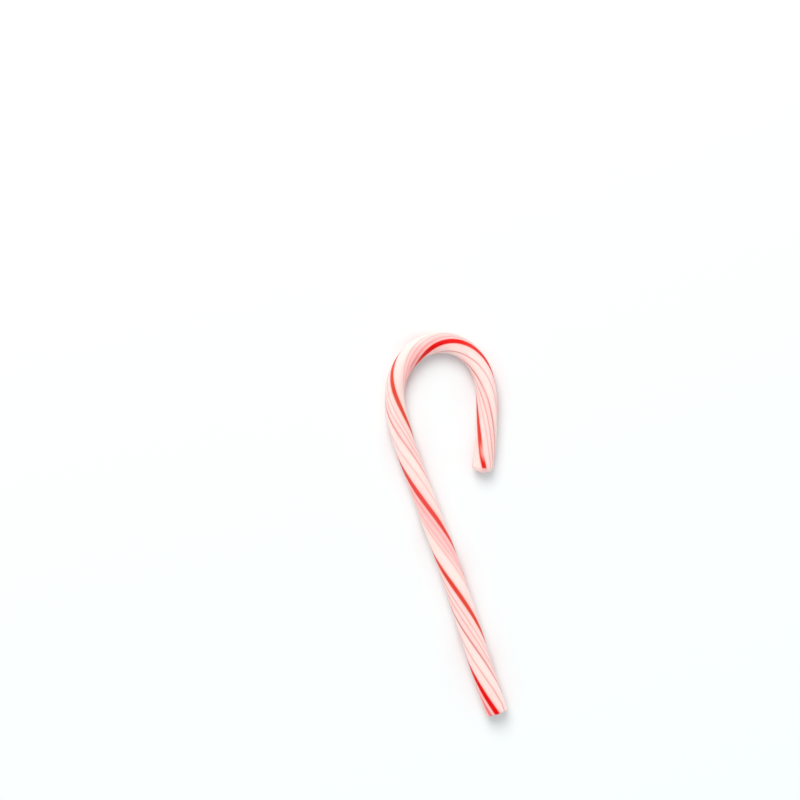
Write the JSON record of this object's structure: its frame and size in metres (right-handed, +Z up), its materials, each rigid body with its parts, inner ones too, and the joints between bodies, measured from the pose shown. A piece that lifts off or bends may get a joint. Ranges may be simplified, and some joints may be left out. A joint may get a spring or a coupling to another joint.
{
  "type": "candy cane",
  "caption": "Unwrapped pulled-sugar candy cane with a hooked end and twisted red stripes, lying flat.",
  "frame": {"origin": "centre of the cane's bounding box, on the surface that it lies on", "axes": "+Z up, +Y along the shaft from the cut foot to the crook, +X towards the side that the crook turns to"},
  "size_m": [0.0428, 0.1398, 0.0082],
  "materials": {
    "pulled_sugar": "smooth satin sugar, cream with inlaid red stripes and fine pink lines"
  },
  "bodies": {
    "root": {"candy_cane": "pulled_sugar"}
  },
  "joints": []
}
